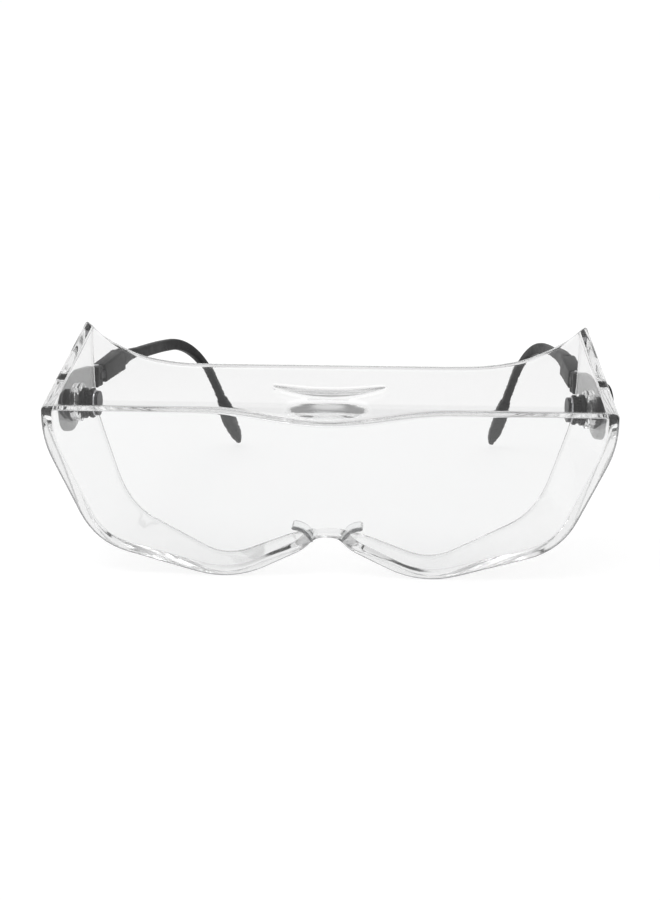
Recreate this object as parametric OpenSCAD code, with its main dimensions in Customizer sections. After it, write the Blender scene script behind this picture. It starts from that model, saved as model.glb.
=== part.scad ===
// Clear one-piece protective spectacles worn over ordinary glasses: a moulded tray-shaped
// shield with brow guard and side guards, and two black temples that tilt, fold and lengthen.
// X runs to the wearer's left, Y runs back to the ears, Z is up.

/* [Shield] */
// Half the width of the shield along its brow ridge
ridge_half = 82.6; // [80:0.2:85]
// Height of the brow ridge above the table
ridge_z = 50.3; // [48:0.1:53]
// Rise of the brow guard for each millimetre back
brow_rise = 0.4; // [0.3:0.02:0.5]
// How far back the brow guard reaches at the middle
brow_depth = 23.5; // [20:0.5:27]
// How far back the wing tips reach
wing_depth = 48.5; // [47:0.5:50]
// How far the middle of the brow bulges forward
bulge = 5.5; // [3:0.5:7]
// Wall thickness of the shield
wall = 2.4; // [2:0.1:2.8]
// Height of the arch over the nose
nose_z = 11.7; // [10:0.1:14]
// Thickness of a nose pad
pad_t = 1.2; // [0.8:0.1:1.6]

/* [Temple joints] */
// Height of the tilt pivot above the table
pivot_z = 45; // [44:0.5:46]
// How far the tilt pivot lies behind the brow ridge
pivot_y = 30; // [28:0.5:32]
// Radius of the tilt spindle
spindle_r = 2.5; // [2:0.1:3]
// Radial clearance of every turning fit
fit = 0.06; // [0.03:0.01:0.1]
// Distance from the tilt pivot back to the fold pin
knuckle_y = 23.2; // [23:0.1:25]
// Radius of the fold hinge barrel
barrel_r = 2.5; // [2.3:0.1:2.7]
// Radius of the fold pin
pin_r = 0.8; // [0.7:0.05:1]
// Inward heading of an open temple, in degrees
splay = 0.5; // [0:0.5:4]
// How far the wearer's right temple lies folded, in degrees
right_fold = 8.5; // [0:0.5:20]

/* [Temples] */
// Length of the sleeve behind the fold pin
sleeve_l = 22; // [20:1:26]
// Thickness of the sleeve
sleeve_t = 5; // [4.6:0.1:5.4]
// Upward slope of the sleeve, in degrees
sleeve_rise = 7.4; // [5:0.2:9]
// Height of the temple arm's section
arm_h = 4.4; // [4:0.1:5]
// Thickness of the temple arm's section
arm_t = 3.2; // [3:0.1:3.6]
// Distance from the fold pin back to where the arm starts to bend down
bend_start = 73; // [68:1:80]
// Radius of the bend over the ear
bend_r = 42; // [36:1:46]
// Steepness of the arm below the bend, in degrees
drop_angle = 57; // [54:1:62]
// How far the ear end leans inward
ear_lean = 14; // [6:0.5:15]
// Length of the soft ear tip
tip_l = 22; // [18:1:30]
// Width of the soft ear tip
tip_w = 5.6; // [5:0.1:6.2]

/* [Hidden] */
$fn = 48;

// ---- vector helpers ----
function unit(v) = v / norm(v);
function mix(a, b, t) = a + (b - a) * t;
function clamp01(t) = min(1, max(0, t));

// ---- shield outline ----
// Corners of half the outline, from the middle of the brow round to the middle of the nose:
// the front fold, the rear rim, and how far each corner's round reaches along its sides.
function brow_z(y) = ridge_z + brow_rise * y;
function on_brow(x, y) = [x, y, brow_z(y)];
front = [
    for (x = [0, 11, 22, 33, 45, 57, 70]) on_brow(x, 0),
    on_brow(ridge_half, 0), [ridge_half + 0.3, 0, 40.5], [68.3, 0, 9.5], [28, 0, -1.9],
    [6.1, 0, nose_z - 3], [4.2, 0, nose_z], [0, 0, nose_z]
];
rear = [
    for (x = [0, 12, 24, 36]) on_brow(x, brow_depth - 0.2),
    on_brow(47, brow_depth + 0.3), on_brow(58, brow_depth + 3.6), on_brow(71, wing_depth - 12),
    on_brow(80.8, wing_depth), [79.6, 45.7, 42], [67.5, 40, 8.5], [31, 14.5, -0.6],
    [9.5, 10, nose_z - 2.4], [4.6, 3.6, nose_z + 0.4], [0, 3.4, nose_z + 0.5]
];
// The inner corner of the front fold is a little tighter than the outer one
front_cut = [0, 4, 4, 4, 4, 4, 4, 1.2, 7, 10, 11, 1.6, 1.6, 0];
rear_cut = [0, 4, 4, 4, 5, 5, 7, 3, 8, 12, 9, 3, 1.6, 0];
inner_cut = [0, 4, 4, 4, 4, 4, 4, 0.8, 6, 8, 9, 1.2, 1.2, 0];
corners = len(front);
arc_steps = 4;

// Inward direction at corner k that keeps both neighbouring panels one wall thick
function panel_normal(k) =
    unit(cross(rear[k] - front[k] + rear[k + 1] - front[k + 1],
               front[k + 1] - front[k] + rear[k + 1] - rear[k]));
function miter(k) =
    let (a = panel_normal(max(0, k - 1)), b = panel_normal(min(k, corners - 2)))
    (k == 0 || k == corners - 1)
        ? let (n = panel_normal(k == 0 ? 0 : corners - 2), f = [0, n.y, n.z]) f / (f * n)
        : (a + b) / (1 + a * b);
front_in = [for (k = [0:corners - 1])
    let (p = front[k] + wall * miter(k), d = rear[k] - front[k])
    p + d * ((wall - p.y) / d.y)];
rear_in = [for (k = [0:corners - 1]) rear[k] + wall * miter(k)];

// Round a chain of corners: each corner becomes a parabolic arc
function rounded(c, cut) = [
    c[0],
    for (k = [1:len(c) - 2])
        let (a = c[k] + cut[k] * unit(c[k - 1] - c[k]), b = c[k] + cut[k] * unit(c[k + 1] - c[k]))
        for (i = [0:arc_steps])
            let (t = i / arc_steps)
            mix(mix(a, c[k], t), mix(c[k], b, t), t),
    c[len(c) - 1]
];
function other_side(h) = [for (i = [len(h) - 2:-1:1]) [-h[i].x, h[i].y, h[i].z]];
function loop(c, cut) = let (h = rounded(c, cut)) concat(h, other_side(h));

// The middle of the brow and of the face bulge forward along the slope of the brow, over this
// half width and as far back as this
bulge_half = 36;
bulge_end = brow_depth - 4;
function bulge_at(p) =
    let (across = abs(p.x) < bulge_half ? pow(cos(p.x * 90 / bulge_half), 2) : 0,
         down = clamp01((p.z - nose_z) / (ridge_z - nose_z)),
         back = clamp01(1 - max(0, p.y - wall) / (bulge_end - wall)))
    bulge * across * down * back * back;
function bulged(p) = p - bulge_at(p) * [0, 1, brow_rise];

face_centre = [0, 0, 27];
function face_ring(l, s, y) =
    [for (p = l) let (q = mix([0, 0, face_centre.z], [p.x, 0, p.z], s)) bulged([q.x, y, q.z])];
function wall_ring(f, r, t) = [for (i = [0:len(f) - 1]) bulged(mix(f[i], r[i], t))];

outer_front = loop(front, front_cut);
outer_rear = loop(rear, rear_cut);
inner_front = loop(front_in, inner_cut);
inner_rear = loop(rear_in, rear_cut);
// Shares of the way out over the face, and back along the walls, where rings of points lie
face_steps = [0.25, 0.5, 0.75, 0.92];
wall_steps = [0.12, 0.3, 0.55, 0.8];

// Close a stack of rings, each end drawn together at a middle point
function stack_faces(n, rings) = concat(
    [for (i = [0:n - 1]) [0, 1 + i, 1 + (i + 1) % n]],
    [for (j = [0:rings - 2]) for (i = [0:n - 1])
        let (a = 1 + j * n + i, b = 1 + j * n + (i + 1) % n)
        each [[a, b + n, b], [a, a + n, b + n]]],
    [for (i = [0:n - 1])
        let (m = 1 + (rings - 1) * n) [m + (i + 1) % n, m + i, m + n]]
);

module shield_tray() {
    rings = concat(
        [for (s = face_steps) face_ring(outer_front, s, 0)],
        [wall_ring(outer_front, outer_rear, 0)],
        [for (t = wall_steps) wall_ring(outer_front, outer_rear, t)],
        [outer_rear, inner_rear],
        [for (i = [len(wall_steps) - 1:-1:0]) wall_ring(inner_front, inner_rear, wall_steps[i])],
        [wall_ring(inner_front, inner_rear, 0)],
        [for (i = [len(face_steps) - 1:-1:0]) face_ring(inner_front, face_steps[i], wall)]
    );
    n = len(outer_front);
    points = concat(
        [bulged(face_centre)],
        [for (r = rings) each r],
        [bulged(face_centre + [0, wall, 0])]
    );
    polyhedron(points, stack_faces(n, len(rings)));
}

// ---- places ----
// The side walls head this many degrees inward; the pivot's X is where its axis meets their outside
wall_heading = 3.2;
pivot_x = 81;
// Longer than any bore is deep
through = 12;

// Distances along the pivot axis, outward from the wall's outside: the boss of the shield, the
// bracket plate outside it, and the ratchet stack that runs inward to the rivet's head
boss_r = 5.5;
boss_x = 1.2;
inner_face = -3.6;
plate_x = 1.5;
plate_t = 2.5;
plate_r = 8.6;
ring_r = 4.1;
ring_t = 1.2;
tooth_h = 0.45;
tooth_gap = 0.12;
cap_r = 3.6;
cap_t = 1.9;
cap_face = inner_face - ring_t - tooth_h - tooth_gap;
cap_back = cap_face - cap_t;
spring_t = 0.65;
spindle_end = cap_back - spring_t;
rivet_r = 1;
rivet_head_r = 3.1;
rivet_head_t = 0.9;
rivet_set_r = 1.9;
rivet_set_t = 0.8;

// The fold hinge: its pin's X, and the heights it spans, all measured from the tilt pivot
knuckle_x = -0.5;
hinge_low = 0.7;
hinge_high = 7.2;
lug_h = 2;
gap = 0.12;

// The arm's middle line: sloping up in the sleeve, easing to level, a slight fall, a bend over
// the ear and a straight drop
stem_z = 3.5;
sleeve_y = sleeve_l * cos(sleeve_rise);
ease_l = 12;
level_start = sleeve_y + ease_l;
arm_z = stem_z + (sleeve_y + ease_l / 2) * tan(sleeve_rise);
arm_fall = 1.4;
fall_angle = 3;
bend_drop = bend_r * (cos(fall_angle) - cos(drop_angle));
bend_run = bend_r * (sin(drop_angle) - sin(fall_angle));
tip_clear = 2.9;
drop_run = (arm_z + pivot_z - arm_fall - bend_drop - tip_clear) / tan(drop_angle);
reach = bend_start + bend_run + drop_run;
arm_l = reach + tip_w / 2;
mid_y = (pivot_y + knuckle_y + arm_l * cos(splay) - bulge) / 2;

module side(left) {
    mirror([left ? 0 : 1, 0, 0]) children();
}
module at_pivot(left) {
    side(left) translate([pivot_x, pivot_y - mid_y, pivot_z]) rotate([0, 0, wall_heading]) children();
}
module at_knuckle(left) {
    at_pivot(left) translate([knuckle_x, knuckle_y, 0])
        rotate([0, 0, splay - wall_heading + (left ? 0 : right_fold)]) children();
}
module at_sleeve(left) {
    at_knuckle(left) translate([0, 0, stem_z]) rotate([sleeve_rise, 0, 0]) children();
}
// A cylinder along X from x0 to x1
module rod_x(r, x0, x1) {
    translate([x0, 0, 0]) rotate([0, 90, 0]) cylinder(r = r, h = x1 - x0);
}
// A cylinder along Z from z0 to z1
module rod_z(r, z0, z1) {
    translate([0, 0, z0]) cylinder(r = r, h = z1 - z0);
}
// A slab from x0 to x1 with its outline drawn in Y and Z
module slab_x(x0, x1, outline) {
    translate([x0, 0, 0]) rotate([90, 0, 90]) linear_extrude(x1 - x0) polygon(outline);
}
module box(low, high) {
    translate(low) cube(high - low);
}

// ---- shield ----
module lens_shield() {
    color([0.93, 0.95, 0.96, 0.4]) difference() {
        union() {
            translate([0, -mid_y, 0]) shield_tray();
            for (left = [true, false]) at_pivot(left) rod_x(boss_r, inner_face, boss_x);
        }
        for (left = [true, false]) at_pivot(left) rod_x(spindle_r + fit, -through, through);
    }
}

// A curled saddle pad that lies against one side of the nose
pad_x = 10.4;
pad_z = 7.4;
pad_r = 6.4;
pad_l = 11;
pad_gap = 0.3;
module nose_pad(left) {
    color([0.9, 0.92, 0.93, 0.5]) side(left)
        translate([pad_x, wall + pad_gap - mid_y, pad_z])
            rotate([90, 0, 0]) translate([0, 0, -pad_l]) intersection() {
                linear_extrude(pad_l) difference() {
                    circle(pad_r);
                    circle(pad_r - pad_t);
                }
                linear_extrude(pad_l) polygon([[0, 0], [-9, 0.6], [-9, 9], [1.5, 9]]);
            }
}

// ---- tilt pivot ----
// A rounded plate outside the wall, stepping inward behind it to carry the fold hinge
plate_end = knuckle_y - 1.2;
flank_r = plate_r - 0.3;
low_flank = 68;
high_flank = 87;
module bracket_plate() {
    rod_x(plate_r, plate_x, plate_x + plate_t);
    slab_x(plate_x, plate_x + plate_t, [
        [0, 0], flank_r * [cos(low_flank), -sin(low_flank)], [plate_end, hinge_low],
        [plate_end, hinge_high], flank_r * [cos(high_flank), sin(high_flank)]
    ]);
}
lug_half = barrel_r - 0.15;
step_y = 18.4;
step_slope = 1.5;
module bracket_knuckle() {
    slab_x(knuckle_x - lug_half, plate_x + plate_t, [
        [step_y, hinge_low], [plate_end, hinge_low],
        [plate_end, hinge_high], [step_y + step_slope, hinge_high]
    ]);
    translate([knuckle_x, knuckle_y, 0]) rod_z(barrel_r, hinge_low, hinge_high);
    box([knuckle_x - lug_half, plate_end - 0.6, hinge_low],
        [knuckle_x + lug_half, knuckle_y, hinge_high]);
}
// The room between the lugs for the sleeve's barrel to turn in
lug_low = hinge_low + lug_h;
lug_high = hinge_high - lug_h;
turning_room = 0.3;
module tilt_bracket(left) {
    color([0.08, 0.08, 0.09]) at_pivot(left) difference() {
        union() {
            bracket_plate();
            bracket_knuckle();
            rod_x(spindle_r, spindle_end, plate_x + 0.5);
        }
        rod_x(rivet_r, -through, through);
        rod_x(rivet_set_r, plate_x + plate_t - rivet_set_t, through);
        translate([knuckle_x, knuckle_y, 0]) {
            rod_z(pin_r, 0, through);
            rod_z(barrel_r + turning_room, lug_low, lug_high);
            box([-barrel_r - 1, -barrel_r, lug_low], [0, barrel_r + 1.5, lug_high]);
        }
    }
}

// Radial teeth round a ring's face, rooted this deep in it
tooth_count = 20;
tooth_in = 2.75;
tooth_out = 3.5;
tooth_w = 0.5;
tooth_root = 0.4;
module teeth(x0, x1) {
    for (i = [0:tooth_count - 1])
        rotate([i * 360 / tooth_count, 0, 0])
            box([x0, tooth_in, -tooth_w / 2], [x1, tooth_out, tooth_w / 2]);
}
module ratchet_ring(left) {
    color([0.1, 0.1, 0.11]) at_pivot(left) difference() {
        union() {
            rod_x(ring_r, inner_face - ring_t, inner_face);
            teeth(inner_face - ring_t - tooth_h, inner_face - ring_t + tooth_root);
        }
        rod_x(spindle_r + fit, -through, 0);
    }
}
// A toothed cap with grip ribs round its rim
rib_count = 18;
rib_h = 0.3;
module ratchet_cap(left) {
    color([0.12, 0.12, 0.13]) at_pivot(left) difference() {
        union() {
            rod_x(cap_r, cap_back, cap_face - tooth_h);
            teeth(cap_face - tooth_h - tooth_root, cap_face);
            for (i = [0:rib_count - 1]) rotate([i * 360 / rib_count, 0, 0])
                box([cap_back + 0.2, cap_r - 0.4, -tooth_w / 2],
                    [cap_back + 1.1, cap_r + rib_h, tooth_w / 2]);
        }
        rod_x(spindle_r, -through, 0);
    }
}
spring_r = 3.3;
spring_gap = 0.05;
module wave_spring(left) {
    color([0.7, 0.7, 0.72]) at_pivot(left) difference() {
        rod_x(spring_r, spindle_end + spring_gap, cap_back - spring_gap);
        rod_x(spindle_r + spring_gap, -through, 0);
    }
}
module pivot_rivet(left) {
    color([0.62, 0.62, 0.64]) at_pivot(left) {
        rod_x(rivet_head_r, spindle_end - rivet_head_t, spindle_end);
        rod_x(rivet_r, spindle_end, plate_x + plate_t - rivet_set_t);
        rod_x(rivet_set_r, plate_x + plate_t - rivet_set_t, plate_x + plate_t - 0.1);
    }
}

// ---- fold hinge ----
pin_head_r = 1.3;
pin_head_t = 0.4;
module hinge_pin(left) {
    color([0.62, 0.62, 0.64]) at_pivot(left) translate([knuckle_x, knuckle_y, 0]) {
        rod_z(pin_r, hinge_low, hinge_high);
        rod_z(pin_head_r, hinge_high, hinge_high + pin_head_t);
    }
}

// ---- temples ----
// The sleeve tapers toward its hinge; the arm's stem slides in its channel
sleeve_outline = [[3.5, -2.9], [sleeve_l, -3.8], [sleeve_l, 3.4], [3.5, 3.2]];
neck_half = 2.2;
neck_end = 4.6;
channel_t = 3;
channel_h = arm_h + 0.4;
channel_y = 5.4;
stem_t = channel_t - 0.2;
stem_h = channel_h - 0.2;
// The leaf that clicks into the arm's notches, and the pocket it bends in
detent_y = 15.5;
detent_l = 6.8;
detent_half = 1.2;
leaf_t = 0.2;
bump_r = 0.55;
pocket_gap = 0.1;
pocket_depth = 0.55;
module temple_sleeve(left) {
    color([0.09, 0.09, 0.1]) difference() {
        union() {
            at_knuckle(left) {
                rod_z(barrel_r - 0.05, lug_low + gap, lug_high - gap);
                box([-neck_half, 0, lug_low + gap], [neck_half, neck_end, lug_high - gap]);
            }
            at_sleeve(left) slab_x(-sleeve_t / 2, sleeve_t / 2, sleeve_outline);
        }
        at_knuckle(left) rod_z(pin_r + fit, 0, through);
        at_sleeve(left) {
            box([-channel_t / 2, channel_y, -channel_h / 2],
                [channel_t / 2, sleeve_l + 1, channel_h / 2]);
            box([channel_t / 2 - pocket_gap, detent_y - detent_l / 2 - pocket_gap, -detent_half - 0.2],
                [channel_t / 2 + pocket_depth, detent_y + detent_l / 2 + pocket_gap, detent_half + 0.2]);
        }
    }
}
module detent_spring(left) {
    color([0.7, 0.7, 0.72]) at_sleeve(left) {
        box([channel_t / 2 + leaf_t, detent_y - detent_l / 2, -detent_half],
            [channel_t / 2 + 2 * leaf_t, detent_y + detent_l / 2, detent_half]);
        intersection() {
            translate([channel_t / 2 + 0.45, detent_y, 0]) rod_z(bump_r, -detent_half, detent_half);
            box([channel_t / 2 - 0.08, detent_y - 1.5, -2], [channel_t / 2 + 0.3, detent_y + 1.5, 2]);
        }
    }
}

// Middle line of the arm at distance s behind the fold pin: how far down, and its steepness
function arm_angle(s) =
    s < level_start ? -sleeve_rise * (1 - clamp01((s - sleeve_y) / ease_l))
    : s < bend_start ? fall_angle * (s - level_start) / (bend_start - level_start)
    : s < bend_start + bend_run
        ? asin(sin(fall_angle) + (s - bend_start) / bend_r)
        : drop_angle;
function arm_drop(s) =
    s < sleeve_y ? arm_z - stem_z - s * tan(sleeve_rise)
    : s < level_start ? pow(level_start - s, 2) * tan(sleeve_rise) / (2 * ease_l)
    : s < bend_start ? arm_fall * pow((s - level_start) / (bend_start - level_start), 1.6)
    : s < bend_start + bend_run
        ? arm_fall + bend_r * (cos(fall_angle) - cos(arm_angle(s)))
        : arm_fall + bend_drop + (s - bend_start - bend_run) * tan(drop_angle);
// The lean inward starts a little ahead of the bend
lean_start = bend_start - 12;
function arm_lean(s) = ear_lean * pow(clamp01((s - lean_start) / (reach - lean_start)), 1.7);
function arm_mid(s) = [-arm_lean(s), s, arm_z - arm_drop(s)];

// One ring of a rounded section t thick and h high, square to the middle line
section_steps = 14;
function section(s, t, h) =
    let (c = arm_mid(s), a = arm_angle(s))
    [for (i = [0:section_steps - 1])
        let (g = -i * 360 / section_steps,
             u = t / 2 * sign(cos(g)) * pow(abs(cos(g)), 0.6),
             v = h / 2 * sign(sin(g)) * pow(abs(sin(g)), 0.6))
        c + [u, v * sin(a), v * cos(a)]];
module sweep(rings) {
    n = section_steps;
    points = concat([mean(rings[0])], [for (r = rings) each r], [mean(rings[len(rings) - 1])]);
    polyhedron(points, stack_faces(n, len(rings)));
}
function mean(r) = [for (k = [0:2]) sum([for (p = r) p[k]]) / len(r)];
function sum(v, i = 0) = i == len(v) - 1 ? v[i] : v[i] + sum(v, i + 1);

// The arm is deepest where it leaves the sleeve and ends in a thin core inside the ear tip
tip_start = reach - tip_l * cos(drop_angle);
core_t = 2;
core_h = 2.6;
function arm_thick(s) = mix(4.4, arm_t, clamp01((s - sleeve_y) / 10));
function arm_high(s) = s < sleeve_y + 18 ? mix(6.6, arm_h, (s - sleeve_y) / 18)
    : mix(arm_h, arm_h - 1, clamp01((s - bend_start) / bend_run));
arm_stations = concat([for (s = [0.15, 3, 6, 9, 12, 16, 20, 28, 36, 44]) sleeve_y + s],
                      [for (i = [0:12]) bend_start + i * (tip_start - bend_start) / 12]);
notches = 4;
notch_pitch = 3;
notch_r = 0.6;
module tip_core() {
    sweep([for (i = [0:8]) section(tip_start - 1 + i * 1.1, core_t, core_h)]);
}
module temple_arm(left) {
    color([0.07, 0.07, 0.08]) {
        at_sleeve(left) difference() {
            box([-stem_t / 2, channel_y + 0.2, -stem_h / 2], [stem_t / 2, sleeve_l + 1.5, stem_h / 2]);
            for (i = [0:notches - 1])
                translate([stem_t / 2 + 0.35, detent_y - notch_pitch * i, 0])
                    rod_z(notch_r, -stem_h, stem_h);
        }
        at_knuckle(left) {
            sweep([for (s = arm_stations) section(s, arm_thick(s), arm_high(s))]);
            tip_core();
        }
    }
}
// The tip swells from the arm's section, then rounds off toward its end
function tip_wide(u) =
    mix(arm_t + 0.8, tip_w, sin(90 * clamp01(u * 2.4))) * cos(62 * pow(clamp01(u * 1.6 - 0.6), 2));
function tip_high(u) =
    mix(arm_h + 0.2, 5, sin(90 * clamp01(u * 3))) * cos(52 * pow(clamp01(u * 1.5 - 0.5), 2));
tip_steps = 14;
module ear_tip(left) {
    color([0.16, 0.16, 0.17]) at_knuckle(left) difference() {
        sweep([for (i = [0:tip_steps])
            let (u = i / tip_steps) section(mix(tip_start + 0.1, reach, u), tip_wide(u), tip_high(u))]);
        tip_core();
    }
}

lens_shield();
nose_pad(true);  // nose_pad_left
nose_pad(false);  // nose_pad_right
tilt_bracket(true);  // tilt_bracket_left
tilt_bracket(false);  // tilt_bracket_right
ratchet_ring(true);  // ratchet_ring_left
ratchet_ring(false);  // ratchet_ring_right
ratchet_cap(true);  // ratchet_cap_left
ratchet_cap(false);  // ratchet_cap_right
wave_spring(true);  // wave_spring_left
wave_spring(false);  // wave_spring_right
pivot_rivet(true);  // pivot_rivet_left
pivot_rivet(false);  // pivot_rivet_right
hinge_pin(true);  // hinge_pin_left
hinge_pin(false);  // hinge_pin_right
temple_sleeve(true);  // temple_sleeve_left
temple_sleeve(false);  // temple_sleeve_right
detent_spring(true);  // detent_spring_left
detent_spring(false);  // detent_spring_right
temple_arm(true);  // temple_arm_left
temple_arm(false);  // temple_arm_right
ear_tip(true);  // ear_tip_left
ear_tip(false);  // ear_tip_right
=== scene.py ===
"""Looks of the clear protective over-glasses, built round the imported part."""

import math

import bmesh
import bpy
import numpy as np
from mathutils import Matrix, Vector
from mathutils.kdtree import KDTree


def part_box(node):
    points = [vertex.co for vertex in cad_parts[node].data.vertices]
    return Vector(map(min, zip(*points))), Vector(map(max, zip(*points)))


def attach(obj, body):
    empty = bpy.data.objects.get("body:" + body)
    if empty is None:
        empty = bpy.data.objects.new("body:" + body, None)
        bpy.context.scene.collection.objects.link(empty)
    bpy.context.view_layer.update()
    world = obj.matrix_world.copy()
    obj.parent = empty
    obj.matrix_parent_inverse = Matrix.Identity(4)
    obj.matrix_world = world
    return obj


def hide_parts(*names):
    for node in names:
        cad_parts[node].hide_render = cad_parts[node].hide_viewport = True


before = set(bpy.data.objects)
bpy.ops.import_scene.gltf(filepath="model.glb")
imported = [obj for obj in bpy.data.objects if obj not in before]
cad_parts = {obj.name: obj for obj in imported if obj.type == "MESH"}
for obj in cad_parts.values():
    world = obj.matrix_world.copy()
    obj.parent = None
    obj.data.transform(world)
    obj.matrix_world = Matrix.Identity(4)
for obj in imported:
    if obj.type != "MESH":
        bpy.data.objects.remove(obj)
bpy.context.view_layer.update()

MM = 0.001
SIDES = {"left": 1, "right": -1}

# ---- sizes shared with the part, in millimetres and degrees ----
# Shield: half its width along the brow ridge, the ridge's height, the brow's rise and depths
RIDGE_HALF, RIDGE_Z, BROW_RISE, BROW_DEPTH, WING_DEPTH = 82.6, 50.3, 0.4, 23.5, 48.5
BULGE, BULGE_HALF, WALL, NOSE_Z = 5.5, 36.0, 2.4, 11.7
# Tilt pivot on the side wall, and how far that wall turns from straight back
PIVOT = (81.0, 30.0, 45.0)
WALL_HEADING = 3.2
BOSS_R, BOSS_LOW, BOSS_HIGH, PIVOT_BORE_R = 5.5, -3.6, 1.2, 2.56
# Fold hinge, seen from the tilt pivot
KNUCKLE_X, KNUCKLE_Y, BARREL_R, PIN_R = -0.5, 23.2, 2.5, 0.8
SPLAY, RIGHT_FOLD = 0.5, 8.5
# Temple: sleeve, arm, bend over the ear and tip
SLEEVE_L, SLEEVE_T, SLEEVE_RISE, STEM_Z, EASE_L = 22.0, 5.0, 7.4, 3.5, 12.0
ARM_H, ARM_T, ARM_FALL, FALL_ANGLE = 4.4, 3.2, 1.4, 3.0
BEND_START, BEND_R, DROP_ANGLE, EAR_LEAN = 73.0, 42.0, 57.0, 14.0
TIP_L, TIP_W, TIP_CLEAR = 22.0, 5.6, 2.9
# Middle of the model from front to back, measured from the ridge
MID_Y = -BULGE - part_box("lens_shield")[0].y / MM

# ---- sizes of the finer shapes on the brow: distance back, half length and half width ----
SCOOP_Y, SCOOP_LONG, SCOOP_HALF = 3.5, 2.3, 12.0
CREASE_Y, CREASE_LONG, CREASE_HALF = 9.9, 1.1, 17.0
SCOOP_SLOPE, CREASE_SLOPE, CREASE_BOW = 0.4, 0.42, 2.3
# How much painted shade an edge gets, from 0 to 1, as a grey standing in for the dark lines that
# refraction draws in
# the clear plastic: the crease, the rear rim, the rim and ridge of the brow, and the inner side of a
# fold
CREASE_PAINTED_SHADE, LIP_PAINTED_SHADE, BROW_LIP_PAINTED_SHADE, FOLD_IN_PAINTED_SHADE = 0.3, 0.22, 0.36, 0.15


def sin_d(a):
    return math.sin(math.radians(a))


def cos_d(a):
    return math.cos(math.radians(a))


# ---- places ----
def turned(p, degrees):
    """Points turned about Z."""
    c, s = cos_d(degrees), sin_d(degrees)
    return np.column_stack([p[:, 0] * c - p[:, 1] * s, p[:, 0] * s + p[:, 1] * c, p[:, 2]])


def placed(points, side="left", at="lens"):
    """Millimetre points of a place as metres in the row frame."""
    p = np.array(points, float).reshape(-1, 3)
    if at == "sleeve":
        c, s = cos_d(SLEEVE_RISE), sin_d(SLEEVE_RISE)
        p = np.column_stack([p[:, 0], p[:, 1] * c - p[:, 2] * s, p[:, 1] * s + p[:, 2] * c + STEM_Z])
    if at in ("knuckle", "sleeve"):
        fold = SPLAY - WALL_HEADING + (RIGHT_FOLD if side == "right" else 0)
        p = turned(p, fold) + [KNUCKLE_X, KNUCKLE_Y, 0]
    if at != "lens":
        p = turned(p, WALL_HEADING) + PIVOT
    p[:, 0] *= SIDES[side]
    p[:, 1] -= MID_Y
    return p * MM


# ---- meshes ----
def shade(mesh, sharp=35):
    """Smooth shading that stays crisp on edges sharper than an angle."""
    for polygon in mesh.polygons:
        polygon.use_smooth = True
    mesh.set_sharp_from_angle(angle=math.radians(sharp))


def solid(name, points, faces, side="left", at="lens", sharp=35):
    """A closed mesh object with its faces turned outward."""
    mesh = bpy.data.meshes.new(name)
    mesh.from_pydata([tuple(v) for v in placed(points, side, at)], [], faces)
    bm = bmesh.new()
    bm.from_mesh(mesh)
    bmesh.ops.recalc_face_normals(bm, faces=bm.faces)
    bm.to_mesh(mesh)
    bm.free()
    shade(mesh, sharp)
    made = bpy.data.objects.new(name, mesh)
    bpy.context.scene.collection.objects.link(made)
    return made


def settle(piece, sharp=35):
    """Apply a piece's modifiers."""
    evaluated = piece.evaluated_get(bpy.context.evaluated_depsgraph_get())
    mesh = bpy.data.meshes.new_from_object(evaluated)
    piece.modifiers.clear()
    piece.data = mesh
    shade(mesh, sharp)
    return piece


def combine(piece, tools, operation, sharp=35):
    """Cut tools out of a piece or join them to it."""
    for tool in tools:
        change = piece.modifiers.new("combine", "BOOLEAN")
        change.operation, change.object, change.solver = operation, tool, "MANIFOLD"
    bpy.context.view_layer.update()
    settle(piece, sharp)
    for tool in tools:
        bpy.data.objects.remove(tool)
    return piece


def ring_stack(rings):
    """Points and faces of a stack of rings, closed at both ends."""
    count = len(rings[0])
    points = [p for r in rings for p in r]
    faces = []
    for j in range(len(rings) - 1):
        for i in range(count):
            a, b = j * count + i, j * count + (i + 1) % count
            faces.append((a, b, b + count, a + count))
    faces.append(tuple(range(count - 1, -1, -1)))
    last = (len(rings) - 1) * count
    faces.append(tuple(range(last, last + count)))
    return points, faces


def rod(name, r, low, high, axis, centre=(0, 0, 0), side="left", at="pivot", steps=64, chamfer=0.0):
    """A round rod along X or Z of a place."""
    rings = []
    ends = [(low, r - chamfer), (low + chamfer, r), (high - chamfer, r), (high, r - chamfer)]
    for t, radius in ends if chamfer else [(low, r), (high, r)]:
        turn = [2 * math.pi * i / steps for i in range(steps)]
        if axis == "x":
            rings.append([(centre[0] + t, centre[1] + radius * math.cos(a),
                           centre[2] + radius * math.sin(a)) for a in turn])
        else:
            rings.append([(centre[0] + radius * math.cos(a), centre[1] + radius * math.sin(a),
                           centre[2] + t) for a in turn])
    points, faces = ring_stack(rings)
    return solid(name, points, faces, side, at)


def prism(name, outline, low, high, round_off, side="left", at="pivot", segments=4):
    """An outline pushed along X with rounded edges."""
    points, faces = ring_stack([[(t, u, v) for u, v in outline] for t in (low, high)])
    made = solid(name, points, faces, side, at)
    if round_off:
        bevel = made.modifiers.new("round", "BEVEL")
        bevel.width, bevel.segments = round_off * MM, segments
        bevel.limit_method, bevel.angle_limit = "ANGLE", math.radians(25)
        bevel.use_clamp_overlap = False
        bpy.context.view_layer.update()
        settle(made)
    return made


def oblong(low, high):
    """Corners of a rectangle between two opposite corners."""
    return [(low[0], low[1]), (high[0], low[1]), (high[0], high[1]), (low[0], high[1])]


def block(name, low, high, round_off=0.0, side="left", at="knuckle"):
    """A box between two corners with rounded edges."""
    return prism(name, oblong(low[1:], high[1:]), low[0], high[0], round_off, side, at)


def squarish(turn, power):
    """Cosine and sine of a turn, pushed outward towards a rectangle."""
    return [math.copysign(abs(f(turn)) ** power, f(turn)) for f in (math.cos, math.sin)]


# ---- shield ----
def unit(v):
    """A vector at length one."""
    return v / np.linalg.norm(v)


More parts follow.
